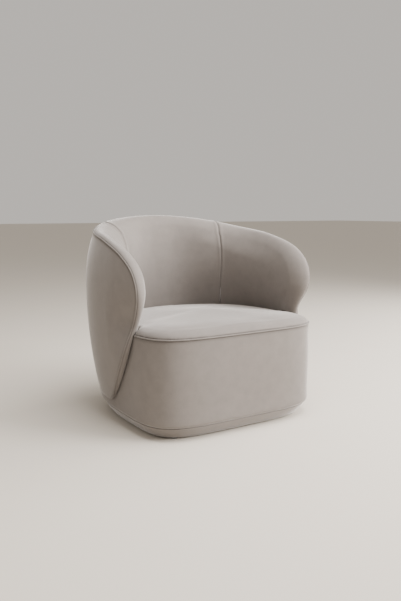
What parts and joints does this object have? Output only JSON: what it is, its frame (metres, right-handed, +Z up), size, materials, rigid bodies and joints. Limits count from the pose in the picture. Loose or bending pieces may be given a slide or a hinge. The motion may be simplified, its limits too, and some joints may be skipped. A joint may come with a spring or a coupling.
{
  "type": "armchair",
  "caption": "Barrel-backed upholstered lounge chair: a crowned seat on a squared base, wrapped from arm to arm by one padded curved back on a tapered plinth.",
  "frame": {"origin": "on the floor, under the middle of the bounding box", "axes": "+Z up; the sitter faces -Y; +X is to the right for someone who stands in front and looks at the chair, and is its widest direction"},
  "size_m": [0.8498, 0.7866, 0.789],
  "materials": {
    "velvet": "plain short-pile upholstery velvet in a warm light grey",
    "foam": "cut polyurethane foam",
    "plywood": "raw plywood",
    "timber": "planed softwood",
    "fibreboard": "thin bending board, raw",
    "webbing": "woven elastic webbing",
    "steel": "plain drawn steel",
    "plastic": "moulded glide, matt black",
    "cambric": "thin non-woven cloth, black",
    "felt": "needled felt"
  },
  "bodies": {
    "root": {"arm_left_foam": "foam", "arm_right_foam": "foam", "arm_strut_left": "plywood", "arm_strut_right": "plywood", "back_foam": "foam", "back_webbing_1": "webbing", "back_webbing_2": "webbing", "back_webbing_3": "webbing", "base_cover": "velvet", "base_padding": "foam", "base_post_front_left": "timber", "base_post_front_right": "timber", "base_post_rear_left": "timber", "base_post_rear_right": "timber", "base_side_board": "fibreboard", "bottom_ring": "plywood", "deck_ring": "plywood", "dust_cover": "cambric", "frame_bolt_rear_left": "steel", "frame_bolt_rear_right": "steel", "frame_bolt_side_left": "steel", "frame_bolt_side_right": "steel", "glide_front_left": "plastic", "glide_front_right": "plastic", "glide_rear_left": "plastic", "glide_rear_right": "plastic", "inner_arm_left_cover": "velvet", "inner_arm_right_cover": "velvet", "inner_back_cover": "velvet", "outer_arm_left_cover": "velvet", "outer_arm_right_cover": "velvet", "outer_back_cover": "velvet", "outer_board": "fibreboard", "plinth_cover": "velvet", "plinth_frame": "plywood", "rim_rail": "plywood", "seat_cover": "velvet", "seat_foam_core": "foam", "seat_foam_pad": "foam", "seat_rail_front": "timber", "seat_rail_left": "timber", "seat_rail_rear": "timber", "seat_rail_right": "timber", "seat_spring_1": "steel", "seat_spring_2": "steel", "seat_spring_3": "steel", "seat_spring_4": "steel", "seat_welt": "velvet", "skirt_foam": "foam", "spring_clip_front": "steel", "spring_clip_rear": "steel", "spring_pad": "felt", "wrap_rib_left_1": "plywood", "wrap_rib_left_2": "plywood", "wrap_rib_left_3": "plywood", "wrap_rib_right_1": "plywood", "wrap_rib_right_2": "plywood", "wrap_rib_right_3": "plywood", "wrap_sole_board": "plywood", "wrap_welt": "velvet"}
  },
  "joints": []
}
